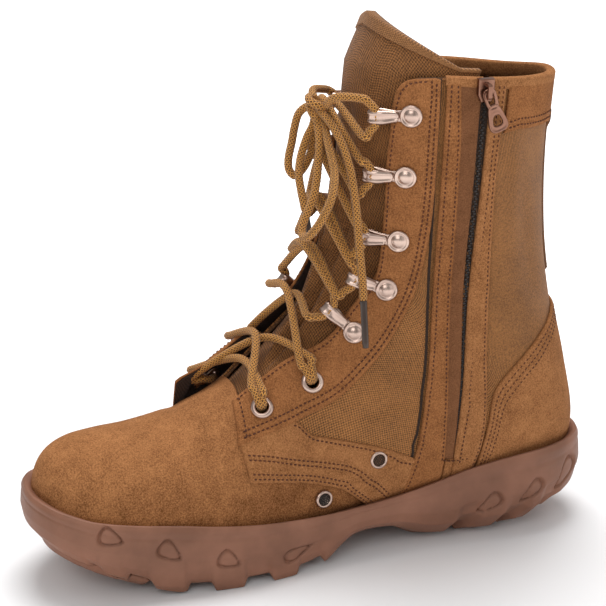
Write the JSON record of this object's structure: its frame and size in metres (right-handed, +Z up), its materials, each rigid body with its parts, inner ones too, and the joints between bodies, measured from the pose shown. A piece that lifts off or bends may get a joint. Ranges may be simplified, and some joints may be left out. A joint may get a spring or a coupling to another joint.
{
  "type": "combat boot",
  "caption": "Right lace-up combat boot with a lugged rubber sole, open throat with eyelets and speed hooks, and a side zip on the inner side whose pull tab swings.",
  "frame": {"origin": "on the floor under the middle of the boot's bounding box, its free cords left out", "axes": "+Y to the toe, +X to the outer (lateral) side of this right boot, +Z up the shaft; the inner side with the zip faces -X"},
  "size_m": [0.1052, 0.299, 0.2716],
  "materials": {
    "rubber": "matt moulded rubber",
    "foam": "fabric-topped foam",
    "cordura": "woven nylon and suede panels with a fabric lining",
    "suede": "napped suede",
    "webbing": "woven tape",
    "zip": "moulded coil",
    "nickel": "coppery nickel plate",
    "lace": "round braid with dark flecks",
    "aglet": "moulded tip"
  },
  "bodies": {
    "boot": {"outsole": "rubber", "insole": "foam", "upper": "cordura", "tongue": "cordura", "facing_medial": "suede", "facing_lateral": "suede", "heel_counter": "suede", "back_strap": "webbing", "zip_teeth": "zip", "zip_slider": "nickel", "eyelet_medial_a": "nickel", "eyelet_lateral_a": "nickel", "eyelet_medial_b": "nickel", "eyelet_lateral_b": "nickel", "hook_medial_a": "nickel", "hook_lateral_a": "nickel", "hook_medial_b": "nickel", "hook_lateral_b": "nickel", "hook_medial_c": "nickel", "hook_lateral_c": "nickel", "hook_medial_d": "nickel", "hook_lateral_d": "nickel", "hook_medial_e": "nickel", "hook_lateral_e": "nickel", "vent_a": "nickel", "vent_b": "nickel", "lace_crossings": "lace", "lace_knot": "lace", "lace_loop_front": "lace", "lace_loop_back": "lace", "lace_end_medial": "lace", "lace_end_lateral": "lace", "lace_aglet": "aglet"},
    "pull": {"zip_pull": "nickel"}
  },
  "joints": [
    {"name": "pull_swing", "type": "hinge", "parent": "boot", "child": "pull", "pos_m": [-0.04987, -0.07193, 0.23856], "axis": [0.0101, 0.9397, -0.3418], "range_deg": [0, 160]}
  ]
}
